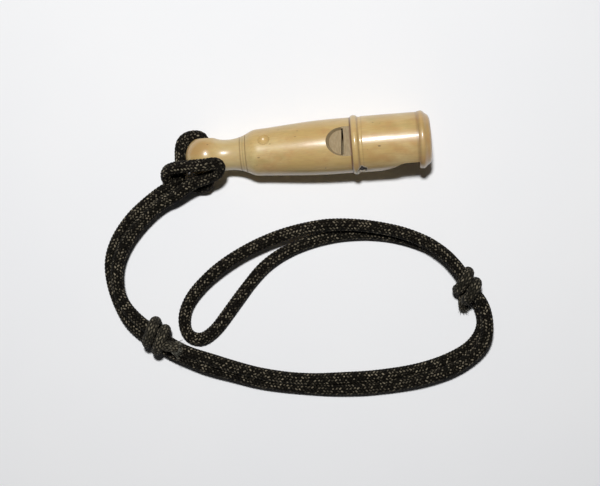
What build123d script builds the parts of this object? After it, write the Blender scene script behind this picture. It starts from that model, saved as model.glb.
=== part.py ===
from build123d import *
import math
import os

# A turned bone training whistle on a braided cord lanyard, lying on a flat surface (millimetres).
# +X runs along the whistle towards its mouthpiece, +Z is up, and the surface is z = 0.
# The whistle rests on its knob and its collar bead, so its axis rises a little towards the mouthpiece.

# Whistle: distances along its axis are measured from the end of the knob
WHISTLE_LENGTH = 80.0
KNOB_RADIUS = 6.7
NECK_RADIUS = 5.0
NECK_AT = 13.6
FINIAL_JOINT = 19.3
FINIAL_JOINT_RADIUS = 5.9
SHOULDER_RADIUS = 7.55
SHOULDER_AT = 22.9
BARREL_RADIUS = 9.0
COLLAR_AT = 54.4
BEAD_LENGTH = 2.3
BEAD_RADIUS = 9.65
MOUTH_RADIUS = 9.12
COVE_LENGTH = 1.3  # the shallow hollow behind the bead
COVE_DEPTH = 0.16
LIP_AT = 76.0
LIP_RADIUS = 9.35
BORE_RADIUS = 5.8
CHAMBER_START = 28.0
TENON_RADIUS = 3.6
TENON_LENGTH = 5.0
SPIGOT_RADIUS = 7.3
SPIGOT_LENGTH = 6.0
CORD_HOLE_RADIUS = 2.3
HOLE_MOUTH_RADIUS = 4.1
HOLE_MOUTH_DEPTH = 2.2
LINE_DEPTH = 0.16  # fine turned lines
LINE_OFFSET = 0.9  # of each turned line from the finial's joint

# Window, seen from above with the window facing up
WINDOW_LEFT = 46.4
WINDOW_HALF_WIDTH = 4.95
SLIT_RIGHT = 52.1
SLIT_NARROW = 0.5
SLIT_WIDE = 1.1
SLIT_HALF_LENGTH = 4.25
RAMP_HIGH = 7.5
RAMP_LOW = 6.45
BAND_HEIGHT = 7.6
WINDWAY_FLOOR = 4.9

DIMPLE_AT = 26.4
DIMPLE_RADIUS = 1.95
DIMPLE_DEPTH = 1.15
DIMPLE_TURN = 20.5  # degrees round from the window
BITE_TURN = -101.0
BITE_DISTANCE = 7.1
BITE_START = 61.0
BITE_FLAT_START = 71.8
PIN_TURN = -72.0
PIN_AT = 57.4
PIN_RADIUS = 1.25
PIN_DEPTH = 5.4
WINDOW_ROLL = 6.0  # the whistle lies with its window turned this far towards +Y

# Lanyard
CORD_RADIUS = 2.0
KNOT_LENGTH = 11.8
KNOT_WIDTH = 10.6
KNOT_HEIGHT = 11.0
KNOT_CLEARANCE = 0.6
END_RADIUS = 1.8
END_LENGTH = 5.5
STRAND_GAP = 0.45  # between the hitch and the strands, where the lanyard bends as the whistle is lifted
LOW = 2.1  # cord centre height for a strand on the surface
HIGH = 6.3  # and for a strand on top of another

# The strands, from the hitch round to the upper knot, and the end loop beyond it. Where the pair passes
# through a knot both strands have the same x and y, one above the other.
OUTER_ROUTE = [
    (-45.9, -9.9, 2.6),
    (-52.4, -13.9, LOW),
    (-59.2, -19.4, LOW),
    (-64.9, -27.0, LOW),
    (-67.2, -36.6, LOW),
    (-64.6, -46.6, LOW),
    (-53.8, -57.8, LOW),
    (-40.2, -66.2, LOW),
    (-28.0, -72.6, LOW),
    (-13.3, -77.6, LOW),
    (2.5, -79.5, LOW),
    (19.1, -79.8, LOW),
    (34.9, -77.7, LOW),
    (46.0, -74.4, 4.0),
    (52.0, -69.8, 5.8),
    (54.8, -63.2, HIGH),
    (53.6, -56.2, HIGH),
    (48.4, -47.4, HIGH),
    (40.2, -37.2, HIGH),
    (36.8, -34.7, HIGH),
]
INNER_ROUTE = [
    (-45.2, -12.4, 7.0),
    (-52.2, -16.1, 6.8),
    (-58.4, -21.8, HIGH),
    (-62.9, -28.6, HIGH),
    (-65.8, -37.2, HIGH),
    (-64.6, -46.6, HIGH),
    (-53.8, -57.8, HIGH),
    (-40.2, -66.2, HIGH),
    (-30.6, -69.3, 6.1),
    (-20.6, -71.7, 4.7),
    (-9.4, -73.8, 3.0),
    (2.8, -75.1, LOW),
    (19.1, -75.3, LOW),
    (33.8, -73.4, LOW),
    (43.2, -71.1, LOW),
    (49.8, -67.8, LOW),
    (53.8, -62.9, LOW),
    (53.6, -56.2, LOW),
    (48.4, -47.4, LOW),
    (40.2, -37.2, LOW),
    (35.5, -34.6, LOW),
]
LOOP_ROUTE = [
    (36.8, -34.7, HIGH),
    (33.4, -32.2, HIGH),
    (25.6, -28.6, HIGH),
    (15.6, -26.2, HIGH),
    (5.3, -25.2, HIGH),
    (-4.6, -26.1, HIGH),
    (-13.9, -28.3, HIGH),
    (-22.9, -31.7, HIGH),
    (-30.9, -36.0, 6.0),
    (-37.6, -41.2, 5.0),
    (-42.4, -46.6, 3.6),
    (-45.0, -52.4, 2.4),
    (-44.4, -58.0, LOW),
    (-40.2, -60.0, LOW),
    (-35.8, -57.4, LOW),
    (-31.6, -52.6, LOW),
    (-27.0, -47.1, LOW),
    (-22.4, -41.9, LOW),
    (-17.8, -37.5, LOW),
    (-12.0, -33.8, LOW),
    (-5.3, -31.1, LOW),
    (2.4, -29.1, LOW),
    (11.6, -28.2, LOW),
    (21.3, -29.0, LOW),
    (30.8, -32.0, LOW),
    (35.5, -34.6, LOW),
]
# From inside the knob's hole, out of its far mouth and round the end of the knob to the hitch, from the
# knob's centre
EYE_ROUTE = [
    (0.0, -6.6, 0.0),
    (0.0, 7.4, 0.0),
    (-2.6, 10.6, 1.4),
    (-6.8, 9.6, 3.0),
    (-10.2, 5.6, 3.0),
    (-11.4, 0.4, 2.4),
    (-12.2, -2.4, 2.0),
]
LOWER_KNOT_CORNER = 6  # corner of the two routes whose arc each knot sits on
UPPER_KNOT_CORNER = 17


def tube(route, radius=CORD_RADIUS):
    """A round cord along straight runs joined by arcs, each as large as its two runs allow."""
    points = [Vector(*point) for point in route]
    radii = corner_radii(points)
    path = FilletPolyline(*points, radius=radii)
    start = Plane(origin=path @ 0, z_dir=path % 0)
    cord = sweep(start * Circle(radius), path=path)
    expected = math.pi * radius**2 * path.length
    print("arc radii", [round(r, 1) for r in radii])
    print("length", round(path.length, 1), "volume / (section x length)", round(cord.volume / expected, 4))
    return cord


def corner_radii(points):
    """The arc radius at each corner: 0.45 of the shorter run over the tangent of half the turn."""
    radii = []
    for before, corner, after in zip(points, points[1:], points[2:]):
        arriving, leaving = corner - before, after - corner
        half_turn = math.radians(arriving.get_angle(leaving)) / 2
        radii.append(0.45 * min(arriving.length, leaving.length) / math.tan(half_turn))
    return radii


def arc_at(route, corner):
    """The centre, radius and middle point, all at z = 0, of the arc at one corner of a level stretch."""
    before, at, after = [Vector(x, y, 0) for x, y, z in route[corner - 1 : corner + 2]]
    radius = corner_radii([before, at, after])[0]
    inward = ((before - at).normalized() + (after - at).normalized()).normalized()
    half_turn = math.radians((at - before).get_angle(after - at)) / 2
    centre = at + inward * (radius / math.cos(half_turn))
    middle = centre - inward * radius
    return centre, radius, middle


def revolve_profile(profile):
    """A solid turned about the X axis from a closed outline in the XY plane."""
    return revolve(make_face(profile), axis=Axis.X)


def turned_groove(at, radius):
    """The cutter of one fine V-shaped line turned round the whistle."""
    half = LINE_DEPTH * 1.4
    outline = Polyline(
        (at - half, radius + 0.05), (at, radius - LINE_DEPTH), (at + half, radius + 0.05), close=True
    )
    return revolve_profile(outline)


def round_bar(radius, start, end):
    """A cylinder along the whistle's axis."""
    bar = Cylinder(radius, end - start, rotation=(0, 90, 0))
    return Pos((start + end) / 2, 0, 0) * bar


def make_end_finial():
    """Knob, neck and tenon in one turned piece; the cord hole is bored after it is laid down."""
    meet = math.radians(28)
    meet_x = KNOB_RADIUS + KNOB_RADIUS * math.sin(meet)
    meet_r = KNOB_RADIUS * math.cos(meet)
    knob = CenterArc((KNOB_RADIUS, 0), KNOB_RADIUS, 180, -90 - 28)
    neck = Spline(
        (meet_x, meet_r),
        (NECK_AT, NECK_RADIUS),
        (FINIAL_JOINT, FINIAL_JOINT_RADIUS),
        tangents=((math.cos(meet), -math.sin(meet)), (1, 0.36)),
    )
    tenon = Polyline(
        (FINIAL_JOINT, FINIAL_JOINT_RADIUS),
        (FINIAL_JOINT, TENON_RADIUS),
        (FINIAL_JOINT + TENON_LENGTH, TENON_RADIUS),
        (FINIAL_JOINT + TENON_LENGTH, 0),
        (0, 0),
    )
    finial = revolve_profile(knob + neck + tenon)
    return finial - turned_groove(FINIAL_JOINT - LINE_OFFSET, 5.62)


def barrel_outline():
    """The outer line of the barrel, from the finial's joint to the collar."""
    return Spline(
        (FINIAL_JOINT, FINIAL_JOINT_RADIUS),
        (20.9, 6.62),
        (SHOULDER_AT, SHOULDER_RADIUS - 0.1),
        (24.9, SHOULDER_RADIUS + 0.1),
        (28.6, 7.88),
        (37.1, 8.52),
        (46.2, 8.94),
        (COLLAR_AT, BARREL_RADIUS),
        tangents=((1, 0.36), (1, 0)),
    )


def make_barrel():
    """Resonance tube with its window, slit and dimple, the finial's socket and the mouthpiece's spigot."""
    spigot_end = COLLAR_AT + SPIGOT_LENGTH
    back = Polyline(
        (COLLAR_AT, BARREL_RADIUS),
        (COLLAR_AT, SPIGOT_RADIUS),
        (spigot_end, SPIGOT_RADIUS),
        (spigot_end, BORE_RADIUS),
        (CHAMBER_START, BORE_RADIUS),
        (CHAMBER_START, 0),
        (FINIAL_JOINT + TENON_LENGTH, 0),
        (FINIAL_JOINT + TENON_LENGTH, TENON_RADIUS),
        (FINIAL_JOINT, TENON_RADIUS),
        (FINIAL_JOINT, FINIAL_JOINT_RADIUS),
    )
    barrel = revolve_profile(barrel_outline() + back)
    barrel -= turned_groove(FINIAL_JOINT + LINE_OFFSET, 6.24)
    barrel -= window_pocket()
    barrel -= window_band()
    barrel -= window_slit()
    return barrel - dimple() - pin_hole(PIN_RADIUS)


def window_pocket():
    """The D-shaped ramp: a tapered scoop above a plane that falls towards the slit."""
    depth = 4.0
    scoop = Cone(WINDOW_HALF_WIDTH - 1.3, WINDOW_HALF_WIDTH + 1.3, depth)
    scoop = Pos(WINDOW_LEFT + WINDOW_HALF_WIDTH + 0.5, 0, BAND_HEIGHT + 0.5) * scoop
    ramp = Polyline(
        (WINDOW_LEFT - 2, RAMP_HIGH + 0.4),
        (WINDOW_LEFT, RAMP_HIGH),
        (SLIT_RIGHT - SLIT_NARROW, RAMP_LOW),
        (SLIT_RIGHT - SLIT_NARROW, 12),
        (WINDOW_LEFT - 2, 12),
        close=True,
    )
    above = extrude(Plane.XZ * make_face(ramp), amount=8, both=True)
    return scoop & above


def window_band():
    """The flat between the slit and the collar."""
    width = 2 * math.sqrt(BARREL_RADIUS**2 - BAND_HEIGHT**2) + 1
    band = Box(COLLAR_AT - SLIT_RIGHT + SLIT_NARROW, width, 4)
    return Pos((COLLAR_AT + SLIT_RIGHT - SLIT_NARROW) / 2, 0, BAND_HEIGHT + 2) * band


def window_slit():
    """The slit into the chamber, wider at its -Y end."""
    outline = Polyline(
        (SLIT_RIGHT, -SLIT_HALF_LENGTH),
        (SLIT_RIGHT, SLIT_HALF_LENGTH),
        (SLIT_RIGHT - SLIT_NARROW, SLIT_HALF_LENGTH),
        (SLIT_RIGHT - SLIT_WIDE, -SLIT_HALF_LENGTH),
        close=True,
    )
    return Pos(0, 0, WINDWAY_FLOOR - 3) * extrude(make_face(outline), amount=8)


def dimple():
    """The shallow round hollow behind the shoulder."""
    sphere_radius = (DIMPLE_RADIUS**2 + DIMPLE_DEPTH**2) / (2 * DIMPLE_DEPTH)
    surface = SHOULDER_RADIUS + 0.14
    ball = Pos(DIMPLE_AT, 0, surface - DIMPLE_DEPTH + sphere_radius) * Sphere(sphere_radius)
    return Rot(-DIMPLE_TURN, 0, 0) * ball


def pin_bar(radius, top):
    """A bar across the whistle's axis at the pin's place, out to the radius top."""
    bar = Cylinder(radius, PIN_DEPTH, align=(Align.CENTER, Align.CENTER, Align.MAX))
    return Rot(-PIN_TURN, 0, 0) * Pos(PIN_AT, 0, top) * bar


def pin_hole(radius):
    """The cutter for the pin's hole through the mouthpiece, the spigot and into the block."""
    bar = Cylinder(radius, PIN_DEPTH + 2, align=(Align.CENTER, Align.CENTER, Align.MAX))
    return Rot(-PIN_TURN, 0, 0) * Pos(PIN_AT, 0, MOUTH_RADIUS - 0.3 + 2) * bar


def make_block_pin():
    """The dark pin, its head just under the mouthpiece's surface."""
    return pin_bar(PIN_RADIUS, MOUTH_RADIUS - 0.3)


def make_mouthpiece():
    """Sleeve with its collar bead, bite flat and rounded lip, counterbored for the barrel's spigot."""
    bead_end = COLLAR_AT + BEAD_LENGTH
    spigot_end = COLLAR_AT + SPIGOT_LENGTH
    bead = ThreePointArc(
        (COLLAR_AT, BARREL_RADIUS), (COLLAR_AT + BEAD_LENGTH / 2, BEAD_RADIUS), (bead_end, MOUTH_RADIUS)
    )
    cove_end = bead_end + COVE_LENGTH
    cove_bottom = (bead_end + COVE_LENGTH / 2, MOUTH_RADIUS - COVE_DEPTH)
    cove = ThreePointArc((bead_end, MOUTH_RADIUS), cove_bottom, (cove_end, MOUTH_RADIUS))
    sleeve = Polyline((cove_end, MOUTH_RADIUS), (LIP_AT, MOUTH_RADIUS - 0.05))
    lip = Spline(
        (LIP_AT, MOUTH_RADIUS - 0.05),
        (LIP_AT + 0.5, LIP_RADIUS - 0.08),
        (LIP_AT + 1.5, LIP_RADIUS),
        (WHISTLE_LENGTH - 1.3, LIP_RADIUS - 1.0),
        (WHISTLE_LENGTH, BORE_RADIUS + 0.9),
        tangents=((0.6, 1), (0.35, -1)),
    )
    inside = Polyline(
        (WHISTLE_LENGTH, BORE_RADIUS + 0.9),
        (WHISTLE_LENGTH, BORE_RADIUS),
        (spigot_end, BORE_RADIUS),
        (spigot_end, SPIGOT_RADIUS),
        (COLLAR_AT, SPIGOT_RADIUS),
        (COLLAR_AT, BARREL_RADIUS),
    )
    mouthpiece = revolve_profile(bead + cove + sleeve + lip + inside)
    return mouthpiece - bite_cutter() - pin_hole(PIN_RADIUS)


def bite_cutter():
    """The scoop with its short flat, on the side of the mouthpiece."""
    run_in = Spline(
        (BITE_START, MOUTH_RADIUS + 0.1),
        (64.8, 8.88),
        (68.6, 7.95),
        (BITE_FLAT_START, BITE_DISTANCE),
        tangents=((1, 0), (1, 0)),
    )
    rest = Polyline(
        (BITE_FLAT_START, BITE_DISTANCE), (LIP_AT, BITE_DISTANCE), (LIP_AT, 14), (BITE_START, 14),
        (BITE_START, MOUTH_RADIUS + 0.1),
    )
    cutter = extrude(Plane.XZ * make_face(run_in + rest), amount=12, both=True)
    return Rot(-BITE_TURN, 0, 0) * cutter


def make_fipple_block():
    """Plug in the mouthpiece and spigot; the flat on its top leaves the windway open."""
    block = round_bar(BORE_RADIUS, SLIT_RIGHT, WHISTLE_LENGTH - 1.2)
    middle = (SLIT_RIGHT + WHISTLE_LENGTH) / 2
    block -= Pos(middle, 0, WINDWAY_FLOOR + 3) * Box(2 * WHISTLE_LENGTH, 4 * BORE_RADIUS, 6)
    return block - pin_hole(PIN_RADIUS)


def rest_tilt():
    """How far the axis rises, in degrees, with the knob and the collar bead both on the surface."""
    reach = COLLAR_AT + BEAD_LENGTH / 2 - KNOB_RADIUS
    span = math.hypot(reach, BEAD_RADIUS)
    return math.degrees(math.atan2(BEAD_RADIUS, reach) - math.asin(KNOB_RADIUS / span))


def lay_down(solid, roll):
    """Turns a whistle piece about its axis and lays it on the surface, the knob's centre over the origin."""
    solid = Rot(-roll, 0, 0) * Pos(-KNOB_RADIUS, 0, 0) * solid
    return Pos(0, 0, KNOB_RADIUS) * Rot(0, -rest_tilt(), 0) * solid


def cord_hole():
    """The cutter for the hole across the knob, opened out at both mouths where the cord has worn it."""
    hole = Cylinder(CORD_HOLE_RADIUS, 4 * KNOB_RADIUS, rotation=(90, 0, 0))
    mouth = Cone(HOLE_MOUTH_RADIUS, CORD_HOLE_RADIUS, HOLE_MOUTH_DEPTH)
    for side in (1, -1):
        middle = side * (KNOB_RADIUS - HOLE_MOUTH_DEPTH / 2)
        hole += Pos(0, middle, 0) * Rot(90 * side, 0, 0) * mouth
    return Pos(0, 0, KNOB_RADIUS) * hole


def make_whistle():
    """The whistle's pieces, laid on the surface with the middle of its length at x = 0."""
    hole = cord_hole()
    pieces = {
        "end_finial": lay_down(make_end_finial(), 0) - hole,
        "barrel": lay_down(make_barrel(), WINDOW_ROLL),
        "mouthpiece": lay_down(make_mouthpiece(), WINDOW_ROLL),
        "fipple_block": lay_down(make_fipple_block(), WINDOW_ROLL),
        "block_pin": lay_down(make_block_pin(), WINDOW_ROLL),
    }
    box = Compound(list(pieces.values())).bounding_box()
    knob_x = -(box.min.X + box.max.X) / 2
    lift = max(0, -box.min.Z)
    return knob_x, {name: Pos(knob_x, 0, lift) * piece for name, piece in pieces.items()}


def make_hitch(knob_centre):
    """The closed outer shape of the turn of cord drawn up against the knob, clear of the knob itself."""
    over = [(-13.4, -4.6, 0.4), (-9.6, -4.9, 4.4), (-4.2, -5.4, 6.9), (1.0, -5.6, 7.1), (4.0, -7.6, 3.6)]
    over.append((0.2, -10.0, -1.2))
    crossing = tube([knob_centre + Vector(*point) for point in over], CORD_RADIUS + 0.2)
    heart = Pos(*knob_centre) * Pos(-5.9, -9.0, -1.7) * Rot(0, 0, 20) * spheroid(8.4, 4.9)
    clearance = Pos(*knob_centre) * Sphere(KNOB_RADIUS + 0.15)
    strands = [Vector(*OUTER_ROUTE[0]), Vector(*INNER_ROUTE[0])]
    face = Plane(origin=(strands[0] + strands[1]) / 2, z_dir=strand_heading())
    beyond = face * Pos(0, 0, 15 - STRAND_GAP) * Box(30, 30, 30)
    return crossing + heart - clearance - beyond


def spheroid(half_length, radius):
    """A closed oval turned about the X axis."""
    upper_half = Pos(0, radius) * Rectangle(4 * half_length, 2 * radius)
    return revolve(Ellipse(half_length, radius) & upper_half, axis=Axis.X)


def strand_heading():
    """The level direction in which the pair of strands leaves the hitch."""
    outer = Vector(*OUTER_ROUTE[1]) - Vector(*OUTER_ROUTE[0])
    inner = Vector(*INNER_ROUTE[1]) - Vector(*INNER_ROUTE[0])
    heading = outer.normalized() + inner.normalized()
    return Vector(heading.X, heading.Y, 0).normalized()


def knot_place(route, corner):
    """A frame at the middle of the arc a knot sits on, +X away from the arc's centre."""
    centre, radius, middle = arc_at(route, corner)
    outward = (middle - centre).normalized()
    return Pos(middle.X, middle.Y, 0) * Rot(0, 0, math.degrees(math.atan2(outward.Y, outward.X)))


def make_knot(route, corner):
    """A slide knot astride the pair of strands, its channel following the arc on which it slides."""
    centre, radius, middle = arc_at(route, corner)
    body = Rot(0, 0, 90) * spheroid(KNOT_LENGTH / 2, KNOT_WIDTH / 2)
    body = Pos(0, 0, KNOT_HEIGHT - KNOT_WIDTH / 2) * body
    body = knot_place(route, corner) * (body & Pos(0, 0, 20) * Box(40, 40, 40))
    half_slot = CORD_RADIUS + KNOT_CLEARANCE
    slot_top = HIGH + CORD_RADIUS + KNOT_CLEARANCE
    ring = Cylinder(radius + half_slot, slot_top + 2) - Cylinder(radius - half_slot, slot_top + 3)
    channel = Pos(centre.X, centre.Y, slot_top / 2 - 1) * ring
    return body - channel


def make_cord_end(route, corner, side, along, height, turn):
    """The short cord end that comes out of a knot, its place given from the middle of the knot's arc."""
    stub = Pos(side, along, height) * Cylinder(END_RADIUS, END_LENGTH, rotation=(90, 0, turn))
    return knot_place(route, corner) * stub


def main():
    os.makedirs("parts", exist_ok=True)
    knob_x, nodes = make_whistle()
    knob_centre = Vector(knob_x, 0, KNOB_RADIUS)
    nodes["hitch_eye"] = tube([knob_centre + Vector(*point) for point in EYE_ROUTE])
    nodes["hitch"] = make_hitch(knob_centre)
    nodes["cord_outer"] = tube(OUTER_ROUTE)
    nodes["cord_inner"] = tube(INNER_ROUTE)
    nodes["terminal_loop"] = tube(LOOP_ROUTE)
    nodes["lower_knot"] = make_knot(OUTER_ROUTE, LOWER_KNOT_CORNER)
    nodes["upper_knot"] = make_knot(OUTER_ROUTE, UPPER_KNOT_CORNER)
    over_strands = HIGH + CORD_RADIUS + END_RADIUS + 0.3
    nodes["lower_cord_end"] = make_cord_end(OUTER_ROUTE, LOWER_KNOT_CORNER, -0.6, 6.7, over_strands, -6)
    nodes["upper_cord_end"] = make_cord_end(OUTER_ROUTE, UPPER_KNOT_CORNER, -4.4, -4.6, 2.4, 10)
    for corner in (LOWER_KNOT_CORNER, UPPER_KNOT_CORNER):
        centre, radius, middle = arc_at(OUTER_ROUTE, corner)
        print("knot arc centre", centre, "radius", round(radius, 2), "middle", middle)
    for name, solid in nodes.items():
        export_step(solid, f"parts/{name}.step")
        print(name, round(solid.volume, 1), solid.bounding_box())


main()
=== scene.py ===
import math

import bpy
import numpy as np
from mathutils import Matrix, Vector


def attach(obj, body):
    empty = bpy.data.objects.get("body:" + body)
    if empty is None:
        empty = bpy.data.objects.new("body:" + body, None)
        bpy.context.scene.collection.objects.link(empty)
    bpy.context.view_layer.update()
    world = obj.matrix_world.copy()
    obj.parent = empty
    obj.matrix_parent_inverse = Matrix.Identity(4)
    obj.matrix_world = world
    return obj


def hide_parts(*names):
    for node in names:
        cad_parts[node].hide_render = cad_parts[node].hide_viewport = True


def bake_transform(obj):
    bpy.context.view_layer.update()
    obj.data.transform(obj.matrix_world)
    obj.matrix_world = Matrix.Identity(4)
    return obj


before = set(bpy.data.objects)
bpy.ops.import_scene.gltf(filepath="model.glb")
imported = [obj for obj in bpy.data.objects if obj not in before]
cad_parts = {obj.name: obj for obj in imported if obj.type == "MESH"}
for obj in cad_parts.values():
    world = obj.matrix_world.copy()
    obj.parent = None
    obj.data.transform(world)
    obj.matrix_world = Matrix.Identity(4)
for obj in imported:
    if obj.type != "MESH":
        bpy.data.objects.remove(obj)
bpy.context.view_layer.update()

MM = 0.001
TAU = 2 * math.pi

# ---------------------------------------------------------------- camera
# Straight down on the table, turned so that the whistle rises a little to the right.

CAMERA_ROLL = math.radians(4.335)
CAMERA_AT = (-4.9, -30.5, 400.0)    # this and the next two in mm
CAMERA_LENS = 72.05
CAMERA_SENSOR = 36.0
CAMERA_NEAR = 0.01                  # m

camera_data = bpy.data.cameras.new("camera")
camera_data.lens = CAMERA_LENS
camera_data.sensor_width = CAMERA_SENSOR
camera_data.clip_start = CAMERA_NEAR
camera = bpy.data.objects.new("camera", camera_data)
bpy.context.scene.collection.objects.link(camera)
camera.matrix_world = Matrix((
    (math.cos(CAMERA_ROLL), math.sin(CAMERA_ROLL), 0, CAMERA_AT[0] * MM),
    (-math.sin(CAMERA_ROLL), math.cos(CAMERA_ROLL), 0, CAMERA_AT[1] * MM),
    (0, 0, 1, CAMERA_AT[2] * MM),
    (0, 0, 0, 1),
))
bpy.context.scene.camera = camera

# ---------------------------------------------------------------- places and routes, in millimetres

KNOB = np.array((-33.435, 0.0, 6.7))        # the middle of the ball at the whistle's cord end
AXIS = np.array((0.998197, 0.0, 0.060030))  # along the whistle, towards the mouthpiece
PIN_HEAD = np.array((16.95, -8.2, 13.4))    # the middle of the pin's head

# A route lists the control points of a cord's middle line.

# From the hole's +Y mouth, round the knob's end and under the band, then along the table.
# Both hitches are given from the knob's middle.
OUTER_HITCH = [
    (0, -2.0, 0), (0, 3.4, 0), (-1.0, 6.8, -0.4), (-4.8, 7.2, -1.8), (-7.4, 5.9, -2.2),
    (-8.3, 3.2, -1.4), (-8.3, -0.4, 0.2), (-8.6, -4.2, 0.2), (-10.0, -7.0, -0.8),
]
OUTER_ROUTE = [
    (-46.2, -8.8, 4.0), (-49.8, -10.3, 2.6), (-54.8, -13.7, 2.2), (-60.3, -18.2, 2.2),
    (-64.8, -24.0, 2.2), (-68.1, -31.2, 2.2), (-67.9, -39.2, 2.2), (-65.8, -46.8, 2.6),
    (-62.7, -53.1, 3.2), (-56.9, -58.2, 3.9), (-50.4, -62.9, 4.4), (-44.0, -66.3, 4.6),
    (-38.4, -69.1, 4.2), (-30.4, -72.0, 3.6), (-21.2, -75.4, 2.8), (-8.6, -78.1, 2.2),
    (4.7, -79.9, 2.2), (18.1, -80.2, 2.4), (31.8, -78.6, 4.0), (42.4, -76.0, 4.3),
    (50.2, -71.2, 5.1), (53.8, -66.7, 5.8), (54.5, -60.8, 6.3), (53.4, -55.0, 6.8),
    (50.0, -50.0, 7.5), (47.8, -45.8, 7.6), (45.4, -41.6, 7.3), (41.2, -36.6, 7.0),
    (37.0, -33.7, 6.6),
]

# From the hole's -Y mouth, under both strands, up round them as the band, then along the table.
INNER_HITCH = [
    (0, 2.0, 0), (0, -5.2, 0), (0.2, -8.6, -1.4), (-1.6, -9.8, -3.4), (-6.0, -9.0, -4.6),
    (-10.6, -8.2, -4.6), (-13.4, -6.6, -2.0), (-13.2, -4.2, 1.6), (-10.8, -3.2, 4.8),
    (-6.6, -3.2, 6.6), (-2.8, -3.2, 7.9), (0.4, -3.2, 8.4), (3.6, -2.8, 7.6),
    (4.7, -4.2, 5.2), (3.0, -6.3, 3.4), (-0.4, -7.2, 3.0), (-3.8, -8.0, 2.0), (-7.4, -9.8, 0.8),
]
INNER_ROUTE = [
    (-44.6, -12.3, 6.2), (-47.8, -13.3, 5.4), (-52.5, -16.4, 5.0), (-57.3, -20.7, 5.0),
    (-61.8, -25.7, 5.2), (-65.2, -32.2, 5.5), (-65.9, -39.2, 6.1), (-64.4, -45.8, 6.4),
    (-60.3, -51.2, 6.9), (-54.6, -56.0, 7.5), (-48.8, -60.8, 7.5), (-43.4, -63.8, 7.2),
    (-38.0, -65.9, 6.9), (-29.9, -69.2, 6.6), (-20.7, -72.6, 5.4), (-8.2, -75.4, 4.6),
    (4.8, -76.1, 3.2), (17.8, -76.4, 2.6), (31.3, -75.3, 2.2), (41.3, -72.8, 2.2),
    (49.4, -68.9, 2.2), (53.6, -63.0, 2.4), (53.1, -56.0, 3.4), (49.6, -49.8, 4.4),
    (47.4, -45.2, 4.4), (44.6, -40.2, 3.6), (40.4, -36.3, 2.8), (36.4, -34.3, 2.4),
]

# From the upper knot out over the long loop and back under itself.
LOOP_ROUTE = [
    (37.0, -33.7, 6.6), (32.6, -31.2, 6.5), (25.6, -28.5, 6.3), (15.6, -26.1, 6.3),
    (5.3, -25.1, 6.1), (-4.6, -26.0, 5.8), (-13.9, -28.2, 5.5), (-22.9, -31.6, 5.2),
    (-30.9, -35.9, 4.8), (-37.7, -41.0, 4.2), (-42.9, -46.6, 3.4), (-45.3, -52.4, 2.5),
    (-44.5, -58.2, 2.2), (-40.0, -60.2, 2.2), (-35.2, -57.4, 2.2), (-31.0, -52.6, 2.2),
    (-26.4, -47.1, 2.2), (-21.9, -41.9, 2.2), (-17.5, -37.5, 2.2), (-12.0, -33.9, 2.2),
    (-5.3, -31.2, 2.2), (2.4, -29.3, 2.2), (11.6, -28.4, 2.2), (21.3, -29.2, 2.2),
    (30.0, -31.3, 2.3), (36.4, -34.3, 2.4),
]

# Each knot: where it sits, the heading of the pair there, and its turns as (along, left, up).
LOWER_KNOT_AT = (-53.7, -57.7)
LOWER_KNOT_HEADING = (0.739, -0.674)
LOWER_TURNS = [
    (-0.8, 0.3, 3.4), (-1.5, -2.2, 2.2), (-1.3, -3.7, 4.0), (-1.5, -3.5, 7.8),
    (-2.3, -0.6, 10.5), (-3.3, 2.3, 10.0), (-3.9, 3.8, 6.4), (-3.0, 2.6, 2.6),
    (-0.6, -1.0, 2.0), (1.9, -3.4, 3.0), (2.6, -3.9, 6.6), (2.0, -1.7, 10.2),
    (1.1, 1.8, 10.4), (0.3, 3.8, 7.2), (0.6, 2.6, 3.0), (1.6, 0.4, 3.4),
]
LOWER_TAIL = [(1.8, -0.8, 7.2), (3.8, -0.4, 9.4), (5.6, 0.8, 10.4), (7.6, 2.0, 10.2)]

UPPER_KNOT_AT = (48.7, -48.7)
UPPER_KNOT_HEADING = (-0.525, 0.851)
UPPER_TURNS = [
    (-0.5, 0.2, 3.4), (-3.0, 2.0, 2.3), (-3.7, 3.2, 4.4), (-3.4, 2.8, 8.0),
    (-2.5, 0.6, 10.3), (-1.3, -1.9, 9.9), (-0.7, -3.2, 6.8), (-0.9, -2.6, 3.0),
    (-0.2, 0.4, 2.0), (0.6, 2.9, 3.2), (0.9, 3.2, 6.8), (1.4, 1.8, 9.8),
    (2.4, -0.7, 10.4), (3.3, -2.7, 8.6), (3.6, -3.1, 5.2), (3.0, -1.6, 2.8), (1.6, 0.2, 3.4),
]
UPPER_TAIL = [(-1.0, 1.8, 4.6), (-2.6, 3.3, 4.4), (-4.4, 4.4, 3.5), (-6.0, 5.0, 2.5)]


# ---------------------------------------------------------------- geometry helpers

ROUTE_RESOLUTION = 16    # points of the line for each point of its route
SAME_POINT = 1e-9        # points of the line that are nearer than this are one point, m
UPRIGHT = 1e-3           # below this the cross product of two unit vectors counts as nothing


def by_knob(points):
    """Points given from the knob's middle, in the shared frame."""
    return [tuple(KNOB + np.array(p, float)) for p in points]


def knot_route(at, heading, turns):
    """Points given from a knot's place as (along, left, up), in the shared frame."""
    along = np.array((*heading, 0.0)) / math.hypot(*heading)
    left = np.array((-along[1], along[0], 0.0))
    base = np.array((*at, 0.0))
    return [tuple(base + along * t + left * w + np.array((0, 0, h))) for t, w, h in turns]


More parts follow.
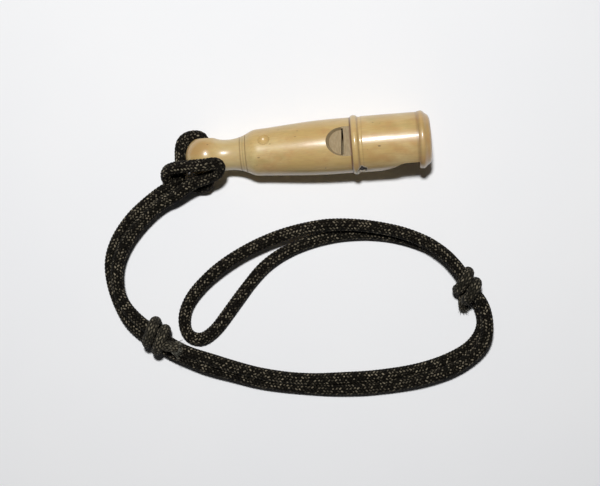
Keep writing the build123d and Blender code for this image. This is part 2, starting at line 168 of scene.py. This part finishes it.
def spline_points(route):
    """The points, in metres, of the smooth NURBS line that has the route as its control points."""
    curve = bpy.data.curves.new("route", "CURVE")
    curve.dimensions = "3D"
    spline = curve.splines.new("NURBS")
    spline.points.add(len(route) - 1)
    for point, at in zip(spline.points, route):
        point.co = (at[0] * MM, at[1] * MM, at[2] * MM, 1.0)
    spline.order_u = 3
    spline.use_endpoint_u = True
    spline.resolution_u = ROUTE_RESOLUTION
    obj = bpy.data.objects.new("route", curve)
    bpy.context.scene.collection.objects.link(obj)
    graph = bpy.context.evaluated_depsgraph_get()
    mesh = bpy.data.meshes.new_from_object(obj.evaluated_get(graph))
    points = np.array([v.co for v in mesh.vertices], float)
    bpy.data.meshes.remove(mesh)
    bpy.data.objects.remove(obj)
    bpy.data.curves.remove(curve)
    return points


def even_steps(points, step):
    """The same line at even steps, with the distance along it."""
    gaps = np.linalg.norm(np.diff(points, axis=0), axis=1)
    keep = np.concatenate(([True], gaps > SAME_POINT))
    points = points[keep]
    along = np.concatenate(([0.0], np.cumsum(np.linalg.norm(np.diff(points, axis=0), axis=1))))
    count = max(3, int(round(along[-1] / step)) + 1)
    at = np.linspace(0.0, along[-1], count)
    return np.stack([np.interp(at, along, points[:, k]) for k in range(3)], axis=1), at


def moving_frames(points):
    """Two side vectors at each point, square to the line and carried along it without twist."""
    tangent = np.gradient(points, axis=0)
    tangent /= np.linalg.norm(tangent, axis=1)[:, None]
    side = np.zeros_like(points)
    first = np.cross(tangent[0], (0.0, 0.0, 1.0))
    if np.linalg.norm(first) < UPRIGHT:
        first = np.cross(tangent[0], (1.0, 0.0, 0.0))
    side[0] = first / np.linalg.norm(first)
    for k in range(1, len(points)):
        v = side[k - 1] - tangent[k] * (side[k - 1] @ tangent[k])
        side[k] = v / np.linalg.norm(v)
    return side, np.cross(tangent, side)


YARNS = 12              # yarns in each direction of the braid
BRAID_LEAD = 14.0       # length in which a yarn goes once round, mm
AROUND = 60             # points in each ring round the cord
RING_STEP = 0.2         # distance between rings, mm
RELIEF = 0.26           # height of a yarn's back above the gaps, mm
RELIEF_INSIDE = 0.62    # share of the relief that is taken off the cord's radius
WORN_FLAT = 0.55        # share of the relief that full wear takes away
SWELL = 0.018           # share by which a limp cord slowly swells and thins
SWELL_PLACES = 40       # places along the cord where that share is drawn
CAP_LENGTH = 0.9        # length of a rounded end, in radii


def braid_relief(turn, along):
    """Height from 0 to 1 of a two-over two-under braid. turn is in turns and along in leads."""
    a = YARNS * (turn + along)
    b = YARNS * (turn - along)
    i, j = np.floor(a), np.floor(b)
    over = np.mod(i + j, 4) < 2
    across = np.where(over, a - i, b - j)
    run = np.where(over, np.mod(b + i, 4), np.mod(a + j, 4) - 2)
    crown = np.sqrt(np.clip(np.sin(np.pi * np.clip(run / 2, 0, 1)), 0, 1))
    return crown * np.sqrt(np.clip(1 - (2 * across - 1) ** 2, 0, 1))


def new_mesh_object(name, vertices, faces, smooth=True):
    mesh = bpy.data.meshes.new(name)
    mesh.from_pydata([tuple(v) for v in vertices], [], faces)
    mesh.update()
    if smooth:
        mesh.polygons.foreach_set("use_smooth", np.ones(len(mesh.polygons), bool))
    obj = bpy.data.objects.new(name, mesh)
    bpy.context.scene.collection.objects.link(obj)
    return obj


def tube_swell(at, radius, ends, seed):
    """The cord's thickness at each ring, as a share: slow swelling, and rounded ends. ends gives
    the share left at the first and the last ring, and an end with a share of 1 isn't rounded."""
    share = at / at[-1]
    drawn = np.random.default_rng(seed).normal(0, 1, SWELL_PLACES)
    drawn[[0, -1]] = 0
    swell = 1 + SWELL * np.interp(share * (SWELL_PLACES - 1), np.arange(SWELL_PLACES), drawn)
    for size, from_end in zip(ends, (at, at[-1] - at)):
        if size < 1:
            inward = np.clip(from_end / (radius * MM) / CAP_LENGTH, 0, 1)
            cap = np.sqrt(np.clip(1 - (1 - inward) ** 2, 0, 1))
            swell = swell * (size + (1 - size) * cap)
    return swell


def tube_faces(rings):
    """Quads between the rings, then a fan over each end round the two last vertices."""
    ring = np.arange(rings - 1)[:, None] * AROUND
    here = np.arange(AROUND)[None, :]
    after = (here + 1) % AROUND
    corners = [ring + here, ring + after, ring + AROUND + after, ring + AROUND + here]
    faces = np.stack(corners, axis=2).reshape(-1, 4).tolist()
    first, last = rings * AROUND, rings * AROUND + 1
    base = (rings - 1) * AROUND
    faces += [(first, (k + 1) % AROUND, k) for k in range(AROUND)]
    faces += [(last, base + k, base + (k + 1) % AROUND) for k in range(AROUND)]
    return faces


def braid_map(mesh, turn, leads):
    """The map that the cord's material reads: turns round the cord, and leads along it."""
    quads = np.empty((len(leads) - 1, AROUND, 4, 2))
    quads[:, :, [0, 3], 0] = turn[:, None]
    quads[:, :, [1, 2], 0] = (turn + 1 / AROUND)[:, None]
    quads[:, :, :2, 1] = leads[:-1, None, None]
    quads[:, :, 2:, 1] = leads[1:, None, None]
    fans = np.zeros((2 * AROUND, 3, 2))
    fans[:, :, 0] = np.tile(turn, 2)[:, None]
    layer = mesh.uv_layers.new(name="braid")
    layer.data.foreach_set("uv", np.concatenate([quads.ravel(), fans.ravel()]))


def braided_tube(name, route, material, radius=2.0, wear=0.0, ends=(1.0, 1.0), seed=0):
    """A braided cord along the route, with real relief, and the points of its middle line. The
    radius is in mm, and wear goes from 0 to 1."""
    points, at = even_steps(spline_points(route), RING_STEP * MM)
    side, up = moving_frames(points)
    turn = np.arange(AROUND) / AROUND
    leads = at / (BRAID_LEAD * MM)
    height = braid_relief(turn[None, :], leads[:, None])
    depth = RELIEF * (1 - WORN_FLAT * wear)
    swell = tube_swell(at, radius, ends, seed)
    r = (radius - RELIEF_INSIDE * depth) * swell[:, None] + depth * height
    angle = turn * TAU
    rim = (np.cos(angle)[None, :, None] * side[:, None, :]
           + np.sin(angle)[None, :, None] * up[:, None, :])
    vertices = (points[:, None, :] + rim * (r * MM)[:, :, None]).reshape(-1, 3)
    vertices = np.vstack([vertices, points[0], points[-1]])
    obj = new_mesh_object(name, vertices, tube_faces(len(points)))
    braid_map(obj.data, turn, leads)
    worn = obj.data.attributes.new("worn", "FLOAT", "POINT")
    worn.data.foreach_set("value", np.full(len(vertices), wear))
    obj.data.materials.append(material)
    return obj, points


FIBRE_SIDES = 4
FIBRE_STEPS = 9
FIBRE_TAPER = 0.6    # share of a fibre's thickness that is gone at its tip
CUT_RADIUS = 1.45    # the fibres leave the cut end within this distance of its middle, mm
TABLE_GAP = 0.3      # the middle of a fibre stays this far above the table, mm


def frayed_end(name, material, knot, start, ahead, count, length, spread, seed):
    """Loose fibres fanning out from a cut end. knot is a knot's place and heading; the fibres
    leave from start towards ahead, both given from the knot as (along, left, up)."""
    rng = np.random.default_rng(seed)
    start, ahead = (np.array(p) for p in knot_route(*knot, (start, ahead)))
    forward = (ahead - start) / np.linalg.norm(ahead - start)
    across = np.cross(forward, (0.0, 0.0, 1.0))
    across /= np.linalg.norm(across)
    rise = np.cross(across, forward)
    vertices, faces = [], []
    for _ in range(count):
        angle, out = rng.uniform(0, TAU), math.sqrt(rng.uniform(0, 1))
        root = start + (across * math.cos(angle) + rise * math.sin(angle)) * CUT_RADIUS * out
        lean = across * rng.normal(0, spread) + rise * rng.normal(-0.05, spread * 0.45)
        curl = across * rng.normal(0, 0.7 * spread) + rise * rng.normal(-0.25, 0.12)
        reach, thick = length * rng.uniform(0.45, 1.0), rng.uniform(0.07, 0.12)
        base = len(vertices)
        for k in range(FIBRE_STEPS):
            t = k / (FIBRE_STEPS - 1)
            centre = root + (forward * t + lean * t + curl * t * t) * reach
            centre[2] = max(centre[2], TABLE_GAP)
            size = thick * (1 - FIBRE_TAPER * t)
            for j in range(FIBRE_SIDES):
                turn = TAU * j / FIBRE_SIDES
                rim = across * math.cos(turn) + rise * math.sin(turn)
                vertices.append(tuple((centre + rim * size) * MM))
            if k:
                low, high = base + (k - 1) * FIBRE_SIDES, base + k * FIBRE_SIDES
                for j in range(FIBRE_SIDES):
                    after = (j + 1) % FIBRE_SIDES
                    faces.append((low + j, low + after, high + after, high + j))
        tip = base + (FIBRE_STEPS - 1) * FIBRE_SIDES
        faces.append(tuple(base + j for j in reversed(range(FIBRE_SIDES))))
        faces.append(tuple(tip + j for j in range(FIBRE_SIDES)))
    obj = new_mesh_object(name, vertices, faces)
    obj.data.materials.append(material)
    return obj


# ---------------------------------------------------------------- material helpers

class Nodes:
    """Short calls for building a material's node tree."""

    MEASURES = ("DOT_PRODUCT", "LENGTH", "DISTANCE")

    def __init__(self, name):
        self.material = bpy.data.materials.new(name)
        self.material.use_nodes = True
        self.tree = self.material.node_tree
        self.shader = self.tree.nodes["Principled BSDF"]

    def new(self, kind, **settings):
        node = self.tree.nodes.new(kind)
        for key, value in settings.items():
            setattr(node, key, value)
        return node

    def link(self, source, target):
        self.tree.links.new(source, target)

    def put(self, socket, value):
        """Link the socket to another one, or give it a value."""
        if isinstance(value, bpy.types.NodeSocket):
            self.link(value, socket)
        else:
            socket.default_value = value

    def math(self, operation, a, b=None, clamp=False):
        node = self.new("ShaderNodeMath", operation=operation, use_clamp=clamp)
        self.put(node.inputs[0], a)
        if b is not None:
            self.put(node.inputs[1], b)
        return node.outputs[0]

    def vector_math(self, operation, a, b=None):
        """The result is a number for the operations in MEASURES and otherwise a vector."""
        node = self.new("ShaderNodeVectorMath", operation=operation)
        self.put(node.inputs[0], a)
        if b is not None:
            self.put(node.inputs[1], b)
        return node.outputs["Value" if operation in self.MEASURES else "Vector"]

    def mix(self, factor, a, b, blend="MIX"):
        node = self.new("ShaderNodeMix", data_type="RGBA", blend_type=blend)
        self.put(node.inputs["Factor"], factor)
        self.put(node.inputs[6], a)
        self.put(node.inputs[7], b)
        return node.outputs[2]

    def ramp(self, value, stops, smooth=False):
        node = self.new("ShaderNodeValToRGB")
        if smooth:
            node.color_ramp.interpolation = "EASE"
        elements = node.color_ramp.elements
        while len(elements) < len(stops):
            elements.new(0.5)
        for element, (at, colour) in zip(elements, stops):
            element.position = at
            element.color = colour if len(colour) == 4 else (*colour, 1)
        self.put(node.inputs[0], value)
        return node.outputs[0]

    def fade(self, value, start, end, amount=1.0, smooth=False):
        """A factor that is 0 up to the start and changes to the amount at the end."""
        return self.ramp(value, [(start, grey(0.0)), (end, grey(amount))], smooth)

    def noise(self, vector, scale, detail=3.0, roughness=0.55):
        node = self.new("ShaderNodeTexNoise")
        self.put(node.inputs["Vector"], vector)
        node.inputs["Scale"].default_value = scale
        node.inputs["Detail"].default_value = detail
        node.inputs["Roughness"].default_value = roughness
        return node.outputs["Fac"]

    def object_place(self):
        return self.new("ShaderNodeTexCoord").outputs["Object"]

    def stretched_noise(self, where, stretch, scale, detail=3.0, roughness=0.55):
        return self.noise(self.vector_math("MULTIPLY", where, stretch), scale, detail, roughness)

    def vector(self, x, y, z):
        node = self.new("ShaderNodeCombineXYZ")
        for socket, value in zip(node.inputs, (x, y, z)):
            self.put(socket, value)
        return node.outputs[0]

    def bump(self, height, strength, distance):
        """Fine relief on the shader, its distance in metres."""
        node = self.new("ShaderNodeBump")
        node.inputs["Strength"].default_value = strength
        node.inputs["Distance"].default_value = distance
        self.link(height, node.inputs["Height"])
        self.link(node.outputs[0], self.shader.inputs["Normal"])

    def fixed(self, **values):
        """Values that are the same all over, by the shader's socket names with _ for a space."""
        for name, value in values.items():
            self.shader.inputs[name.replace("_", " ")].default_value = value


def grey(value):
    return (value, value, value, 1)


SECOND_YARNS = 37.0    # the yarns of the second direction are numbered from here

BROWN_YARN = (0.0030, 0.0020, 0.0014, 1)
OLIVE_YARN = (0.0028, 0.0024, 0.0013, 1)
FILAMENT = (0.026, 0.021, 0.014, 1)
# pale filament colour that also stands in for a painted glint on the stitch crowns
PALE_FILAMENT_AND_GLINT = (0.35, 0.30, 0.21, 1)
PALE_FLECK_AND_GLINT = (0.12, 0.105, 0.075, 1)
WORN_DARK = (0.040, 0.036, 0.025, 1)
WORN_PALE = (0.115, 0.105, 0.078, 1)


def cord_material():
    """Olive brown braid: yarns of slightly different tone, filaments along each, with painted glints
    on the stitch crowns and painted shade between the yarns.
    """
    n = Nodes("braided_cord")
    split = n.new("ShaderNodeSeparateXYZ")
    n.link(n.new("ShaderNodeUVMap", uv_map="braid").outputs[0], split.inputs[0])
    turn, along = split.outputs[0], split.outputs[1]

    # the same braid as in braid_relief
    a = n.math("MULTIPLY", n.math("ADD", turn, along), float(YARNS))
    b = n.math("MULTIPLY", n.math("SUBTRACT", turn, along), float(YARNS))
    i, j = n.math("FLOOR", a), n.math("FLOOR", b)
    over = n.math("LESS_THAN", n.math("FLOORED_MODULO", n.math("ADD", i, j), 4.0), 1.5)
    under = n.math("SUBTRACT", 1.0, over)

    def pick(first, second):
        return n.math("ADD", n.math("MULTIPLY", first, over), n.math("MULTIPLY", second, under))

    across = pick(n.math("SUBTRACT", a, i), n.math("SUBTRACT", b, j))
    length = pick(b, a)
    run_a = n.math("FLOORED_MODULO", n.math("ADD", b, i), 4.0)
    run_b = n.math("SUBTRACT", n.math("FLOORED_MODULO", n.math("ADD", a, j), 4.0), 2.0)
    run = n.math("MULTIPLY", pick(run_a, run_b), 0.5)
    # across the yarn, 0 at its edges and 1 on its back
    back = n.math("MULTIPLY", n.math("MULTIPLY", across, n.math("SUBTRACT", 1.0, across)), 4.0,
                  clamp=True)
    crown = n.math("SINE", n.math("MULTIPLY", run, math.pi))
    height = n.math("MULTIPLY", n.math("POWER", back, 0.5), n.math("POWER", crown, 0.5), clamp=True)

    # a tone for each stitch, filaments along the yarn, and flecks and patches on the whole cord
    yarn = pick(n.math("FLOORED_MODULO", i, float(YARNS)),
                n.math("ADD", n.math("FLOORED_MODULO", j, float(YARNS)), SECOND_YARNS))
    stitch = n.vector(n.math("MULTIPLY", yarn, 3.7),
                      n.math("FLOOR", n.math("MULTIPLY", length, 0.5)), 0.0)
    white = n.new("ShaderNodeTexWhiteNoise", noise_dimensions="2D")
    n.link(stitch, white.inputs["Vector"])
    tone = white.outputs["Value"]
    filament = n.noise(n.vector(n.math("MULTIPLY", across, 9.0), n.math("MULTIPLY", length, 0.9),
                                n.math("MULTIPLY", yarn, 5.3)), 1.0, 2.0)
    where = n.object_place()
    patches = n.noise(where, 90.0, 2.0)
    flecks = n.noise(where, 1900.0, 2.0, 0.6)

    colour = n.mix(n.fade(patches, 0.36, 0.64), BROWN_YARN, OLIVE_YARN)
    colour = n.mix(n.fade(filament, 0.42, 0.72, 0.6), colour, FILAMENT)
    worn = n.new("ShaderNodeAttribute", attribute_name="worn").outputs["Fac"]
    # painted glints: here and there a stitch's crown is painted pale, partly as pale filaments and
    # partly as a painted highlight where the light catches it
    pale_crown_and_glint = n.ramp(n.math("ADD", tone, n.math("MULTIPLY", worn, 0.16)),
                    [(0.42, grey(0.0)), (0.62, grey(0.4)), (0.97, grey(1.0))])
    strands = n.math("MULTIPLY", n.ramp(filament, [(0.28, grey(0.35)), (0.52, grey(1.0))]),
                     n.ramp(flecks, [(0.40, grey(0.25)), (0.56, grey(1.0))]))
    pale_crown_and_glint = n.math("MULTIPLY", n.math("MULTIPLY", pale_crown_and_glint, n.fade(height, 0.60, 0.95)), strands)
    colour = n.mix(pale_crown_and_glint, colour, PALE_FILAMENT_AND_GLINT)
    # scattered pale specks: partly pale fibre, partly painted glints
    colour = n.mix(n.fade(flecks, 0.60, 0.70, 0.6), colour, PALE_FLECK_AND_GLINT)
    # a worn cord is paler and greyer all over
    faded = n.mix(n.fade(flecks, 0.35, 0.7), WORN_DARK, WORN_PALE)
    colour = n.mix(n.math("MULTIPLY", worn, 0.45), colour, faded)
    # and every cord gets painted shade in the gaps between its yarns
    shade = n.ramp(height, [(0.0, grey(0.08)), (0.45, grey(0.5)), (0.9, grey(1.0))])
    n.link(n.mix(1.0, colour, shade, "MULTIPLY"), n.shader.inputs["Base Color"])
    n.link(n.ramp(flecks, [(0.3, grey(0.55)), (0.7, grey(0.8))]), n.shader.inputs["Roughness"])
    n.fixed(Specular_IOR_Level=0.06, Sheen_Weight=0.02, Sheen_Roughness=0.45)
    n.bump(n.math("ADD", height, n.math("MULTIPLY", filament, 0.45)), 0.7, 0.00018)
    return n.material


def fibre_material():
    """Loose fibres at the cut ends of the cord, greyer than the braid."""
    n = Nodes("loose_fibres")
    tone = n.noise(n.object_place(), 1400.0, 2.0, 0.6)
    n.link(n.ramp(tone, [(0.34, (0.035, 0.033, 0.026)), (0.50, (0.13, 0.125, 0.10)),
                         (0.66, (0.34, 0.33, 0.27))]), n.shader.inputs["Base Color"])
    n.link(n.ramp(tone, [(0.3, grey(0.6)), (0.7, grey(0.85))]), n.shader.inputs["Roughness"])
    n.fixed(Specular_IOR_Level=0.2)
    return n.material


HONEY = (0.56, 0.385, 0.150, 1)
PALE_HONEY = (0.66, 0.50, 0.235, 1)
RUSSET = (0.50, 0.27, 0.10, 1)
GREENISH = (0.40, 0.345, 0.135, 1)
GRAIN = (0.36, 0.225, 0.095, 1)
PORE = (0.10, 0.06, 0.03, 1)
NECK = (0.58, 0.46, 0.24, 1)
STAIN = (0.40, 0.235, 0.085, 1)
HELD = (0.44, 0.235, 0.095, 1)
SAWN_DARK = (0.28, 0.205, 0.108, 1)
SAWN_PALE = (0.385, 0.29, 0.165, 1)
DARK_LINE = (0.13, 0.055, 0.025, 1)
CHIP = (0.60, 0.54, 0.45, 1)
BROKEN_RIM = (0.02, 0.015, 0.012, 1)

# Distances along the axis are from the knob's middle, in mm.
NECK_AT = 8.5
NECK_REACH = 7.0        # the pale colour has faded out this far from the neck
HELD_FROM = 62.0
HELD_LENGTH = 12.0
WINDOW_FROM = 38.9
WINDOW_TO = 47.69
WINDOW_RADIUS = 8.4     # a point nearer to the axis than this is inside the window
WINDOW_FACING = 0.97    # and so is one whose surface faces less straight outward than this
STAIN_AT = KNOB + np.array((-2.0, 3.0, 5.5))
STAIN_REACH = 8.0
CHIPS_REACH = 6.0       # of the chips and the broken rim round the pin

# Darker bands in the turned lines and at the joints: the middle, half the width, and how strong.
TURNED_LINES = (
    (11.7, 0.32, 0.35), (12.6, 0.25, 0.25), (13.5, 0.32, 0.40), (47.68, 0.45, 0.85),
    (50.0, 0.45, 0.35), (51.3, 0.30, 0.15), (69.3, 0.9, 0.35),
)


def along_and_out(n, where):
    """How far a point is along the whistle's axis and out from it, in mm, and which way is out."""
    from_knob = n.vector_math("SUBTRACT", where, tuple(KNOB * MM))
    reach = n.vector_math("DOT_PRODUCT", from_knob, tuple(AXIS))
    along = n.math("MULTIPLY", reach, 1000.0)
    far = n.math("MULTIPLY", n.vector_math("LENGTH", from_knob), 1000.0)
    squares = n.math("SUBTRACT", n.math("MULTIPLY", far, far), n.math("MULTIPLY", along, along))
    radius = n.math("SQRT", n.math("MAXIMUM", squares, 0.0))
    on_axis = n.new("ShaderNodeVectorMath", operation="SCALE")
    n.put(on_axis.inputs[0], tuple(AXIS))
    n.link(reach, on_axis.inputs["Scale"])
    off_axis = n.vector_math("SUBTRACT", from_knob, on_axis.outputs[0])
    return along, radius, n.vector_math("NORMALIZE", off_axis)


def window_cut(n, along, radius, outward):
    """1 on the faces of the window's cut and 0 on the turned skin round it."""
    normal = n.new("ShaderNodeTexCoord").outputs["Normal"]
    facing = n.vector_math("DOT_PRODUCT", normal, outward)
    inside = n.math("MAXIMUM", n.math("LESS_THAN", radius, WINDOW_RADIUS),
                    n.math("LESS_THAN", facing, WINDOW_FACING))
    between = n.math("MULTIPLY", n.math("GREATER_THAN", along, WINDOW_FROM),
                     n.math("LESS_THAN", along, WINDOW_TO))
    return n.math("MULTIPLY", inside, between)


def bone_material(name):
    """Old turned bone: honey coloured, fine grain along the axis, a few pores, waxed gloss, with the
    cut window left matt, darker bands in the turned lines and pale chips round the pin."""
    n = Nodes(name)
    where = n.object_place()
    along, radius, outward = along_and_out(n, where)
    cut = window_cut(n, along, radius, outward)

    def band(middle, half_width, strength):
        away = n.math("ABSOLUTE", n.math("SUBTRACT", along, middle))
        return n.ramp(n.math("DIVIDE", away, half_width), [(0.3, grey(strength)), (1.0, grey(0.0))])

    broad = n.stretched_noise(where, (1.0, 1.6, 1.6), 60.0)
    cloud = n.stretched_noise(where, (0.7, 1.0, 1.0), 190.0)
    green = n.stretched_noise(where, (0.8, 1.3, 1.3), 130.0)
    grain = n.stretched_noise(where, (0.055, 1.0, 1.0), 2600.0, 3.0, 0.6)
    pores = n.stretched_noise(where, (0.30, 1.0, 1.0), 1500.0, 1.0, 0.4)
    sawn = n.stretched_noise(where, (1.0, 0.25, 1.0), 2400.0, 3.0, 0.6)

    colour = n.mix(n.fade(broad, 0.34, 0.66, smooth=True), HONEY, PALE_HONEY)
    colour = n.mix(n.fade(cloud, 0.46, 0.72, 0.6, smooth=True), colour, RUSSET)
    colour = n.mix(n.fade(green, 0.50, 0.74, 0.5, smooth=True), colour, GREENISH)
    colour = n.mix(n.fade(grain, 0.40, 0.75, 0.35), colour, GRAIN)
    colour = n.mix(n.fade(pores, 0.765, 0.80, 0.8), colour, PORE)
    # paler at the narrow neck
    colour = n.mix(band(NECK_AT, NECK_REACH, 0.5), colour, NECK)
    # a brown stain with a soft ragged edge on top of the knob
    from_stain = n.vector_math("DISTANCE", where, tuple(STAIN_AT * MM))
    stained = n.math("ADD", n.math("MULTIPLY", from_stain, 1000.0 / STAIN_REACH),
                     n.math("MULTIPLY", cloud, 0.5))
    colour = n.mix(n.ramp(stained, [(0.35, grey(0.7)), (1.0, grey(0.0))], True), colour, STAIN)
    # redder where it is held, towards the lip
    held = n.math("DIVIDE", n.math("SUBTRACT", along, HELD_FROM), HELD_LENGTH)
    colour = n.mix(n.fade(held, 0.2, 1.0, 0.5), colour, HELD)
    # the cut faces of the window, then darker bands in the turned lines
    colour = n.mix(cut, colour, n.mix(n.fade(sawn, 0.35, 0.7), SAWN_DARK, SAWN_PALE))
    for middle, half_width, strength in TURNED_LINES:
        colour = n.mix(band(middle, half_width, strength), colour, DARK_LINE)
    # pale chips round the pin, and a dark broken rim inside them
    from_pin = n.vector_math("DISTANCE", where, tuple(PIN_HEAD * MM))
    near = n.math("ADD", n.math("MULTIPLY", from_pin, 1000.0),
                  n.math("MULTIPLY", n.noise(where, 900.0, 2.0), 2.4))
    near = n.math("DIVIDE", near, CHIPS_REACH)
    chips = n.ramp(near, [(0.48, grey(0.7)), (0.54, grey(0.0))])
    colour = n.mix(chips, colour, CHIP)
    colour = n.mix(n.ramp(near, [(0.41, grey(0.95)), (0.44, grey(0.0))]), colour, BROKEN_RIM)
    n.link(colour, n.shader.inputs["Base Color"])

    # waxed, except in the window and on the chips
    dull = n.math("MAXIMUM", cut, chips)
    waxed = n.ramp(grain, [(0.3, grey(0.27)), (0.7, grey(0.40))])
    n.link(n.mix(dull, waxed, grey(0.75)), n.shader.inputs["Roughness"])
    n.link(n.math("MULTIPLY", n.math("SUBTRACT", 1.0, dull), 0.36), n.shader.inputs["Coat Weight"])
    n.fixed(Coat_Roughness=0.14, Subsurface_Weight=0.10, Subsurface_Radius=(1.0, 0.6, 0.35),
            Subsurface_Scale=0.001)
    n.bump(n.math("ADD", grain, n.math("MULTIPLY", n.math("MULTIPLY", sawn, cut), 2.0)), 0.25, 0.00006)
    return n.material


def block_material():
    """The windway block: pale close-grained wood, gone brown."""
    n = Nodes("block_wood")
    grain = n.stretched_noise(n.object_place(), (0.05, 1.0, 1.0), 2200.0, 4.0, 0.6)
    n.link(n.ramp(grain, [(0.3, (0.13, 0.085, 0.05)), (0.7, (0.27, 0.19, 0.12))]),
           n.shader.inputs["Base Color"])
    n.fixed(Roughness=0.62)
    n.bump(grain, 0.4, 0.0001)
    return n.material


def pin_material():
    """The dark head of the pin, with pale specks."""
    n = Nodes("dark_pin")
    rough = n.noise(n.object_place(), 1800.0, 3.0)
    n.link(n.ramp(rough, [(0.45, (0.012, 0.010, 0.009)), (0.62, (0.06, 0.045, 0.035)),
                          (0.78, (0.40, 0.34, 0.26))]), n.shader.inputs["Base Color"])
    n.link(n.ramp(rough, [(0.3, grey(0.45)), (0.7, grey(0.75))]), n.shader.inputs["Roughness"])
    n.bump(rough, 0.6, 0.0003)
    return n.material


def floor_material():
    """Matt, almost white, with a faint broad mottle."""
    n = Nodes("floor")
    mottle = n.noise(n.object_place(), 14.0, 3.0)
    n.link(n.ramp(mottle, [(0.3, (0.855, 0.86, 0.875)), (0.7, (0.875, 0.877, 0.885))]),
           n.shader.inputs["Base Color"])
    n.fixed(Roughness=0.75, Specular_IOR_Level=0.2)
    return n.material


# ---------------------------------------------------------------- the whistle

def dress(node, material):
    """Put the material on one of the frame's own pieces."""
    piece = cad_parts[node]
    piece.data.materials.clear()
    piece.data.materials.append(material)


for node in ("end_finial", "barrel", "mouthpiece"):
    dress(node, bone_material("bone_" + node))
dress("fipple_block", block_material())
dress("block_pin", pin_material())

# ---------------------------------------------------------------- the cord

cord_look = cord_material()
fibre_look = fibre_material()
LOWER_KNOT = (LOWER_KNOT_AT, LOWER_KNOT_HEADING)
UPPER_KNOT = (UPPER_KNOT_AT, UPPER_KNOT_HEADING)

outer, outer_path = braided_tube("outer_strand", by_knob(OUTER_HITCH) + OUTER_ROUTE, cord_look,
                                 seed=3)
inner, inner_path = braided_tube("inner_strand", by_knob(INNER_HITCH) + INNER_ROUTE, cord_look,
                                 seed=5)
loop, loop_path = braided_tube("loop_strand", LOOP_ROUTE, cord_look, seed=7)

lower_turns, _ = braided_tube("lower_knot_turns", knot_route(*LOWER_KNOT, LOWER_TURNS), cord_look,
                              radius=1.8, wear=0.9, seed=11)
lower_tail, _ = braided_tube("lower_knot_tail", knot_route(*LOWER_KNOT, LOWER_TAIL), cord_look,
                             radius=1.75, wear=1.0, ends=(1, 0.6), seed=13)
upper_turns, _ = braided_tube("upper_knot_turns", knot_route(*UPPER_KNOT, UPPER_TURNS), cord_look,
                              radius=1.8, wear=0.5, seed=17)
upper_tail, _ = braided_tube("upper_knot_tail", knot_route(*UPPER_KNOT, UPPER_TAIL), cord_look,
                             radius=1.6, wear=0.5, ends=(1, 0.5), seed=19)

lower_fray = frayed_end("lower_cord_fray", fibre_look, LOWER_KNOT, start=(5.2, 0.6, 10.6),
                        ahead=(9.4, 2.4, 10.0), count=150, length=4.6, spread=0.26, seed=23)
upper_fray = frayed_end("upper_cord_fray", fibre_look, UPPER_KNOT, start=(-5.4, 4.8, 2.7),
                        ahead=(-8.0, 6.0, 1.6), count=50, length=2.2, spread=0.22, seed=29)

for strand in (outer, inner):
    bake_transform(strand)
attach(loop, "lanyard")
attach(lower_turns, "lower_knot")
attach(lower_tail, "lower_knot")
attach(lower_fray, "lower_knot")
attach(upper_turns, "upper_knot")
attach(upper_tail, "upper_knot")
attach(upper_fray, "upper_knot")

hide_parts("cord_outer", "hitch_eye")
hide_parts("cord_inner", "hitch")
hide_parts("terminal_loop")
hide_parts("lower_knot")
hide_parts("lower_cord_end")
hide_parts("upper_knot")
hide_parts("upper_cord_end")


# ---------------------------------------------------------------- floor and light
# Lengths here are in metres and powers in watts.

FLOOR_HALF = 2
LIT_PLACE = (-0.005, -0.03, 0)
WORLD_COLOUR = (0.97, 0.98, 1.0, 1)
WORLD_STRENGTH = 0.02

floor = new_mesh_object("floor",
                        [(x * FLOOR_HALF, y * FLOOR_HALF, 0)
                         for x, y in ((-1, -1), (1, -1), (1, 1), (-1, 1))],
                        [(0, 1, 2, 3)], smooth=False)
floor.data.materials.append(floor_material())


def area_light(name, direction, distance, size, power):
    """A round lamp that far from the lit place in that direction, and facing it."""
    data = bpy.data.lights.new(name, "AREA")
    data.shape = "DISK"
    data.size = size
    data.energy = power
    obj = bpy.data.objects.new(name, data)
    bpy.context.scene.collection.objects.link(obj)
    back = Vector(direction).normalized()
    obj.location = Vector(LIT_PLACE) + back * distance
    obj.rotation_mode = "QUATERNION"
    obj.rotation_quaternion = back.to_track_quat("Z", "Y")


area_light("key", (-0.03, 0.27, 0.96), distance=0.62, size=0.06, power=3.72)
area_light("soft_box", (0.0, 0.35, 0.94), distance=0.7, size=0.35, power=0.12)

world = bpy.data.worlds.new("world")
world.use_nodes = True
background = world.node_tree.nodes["Background"]
background.inputs["Color"].default_value = WORLD_COLOUR
background.inputs["Strength"].default_value = WORLD_STRENGTH
bpy.context.scene.world = world
bpy.context.scene.view_settings.view_transform = "Standard"
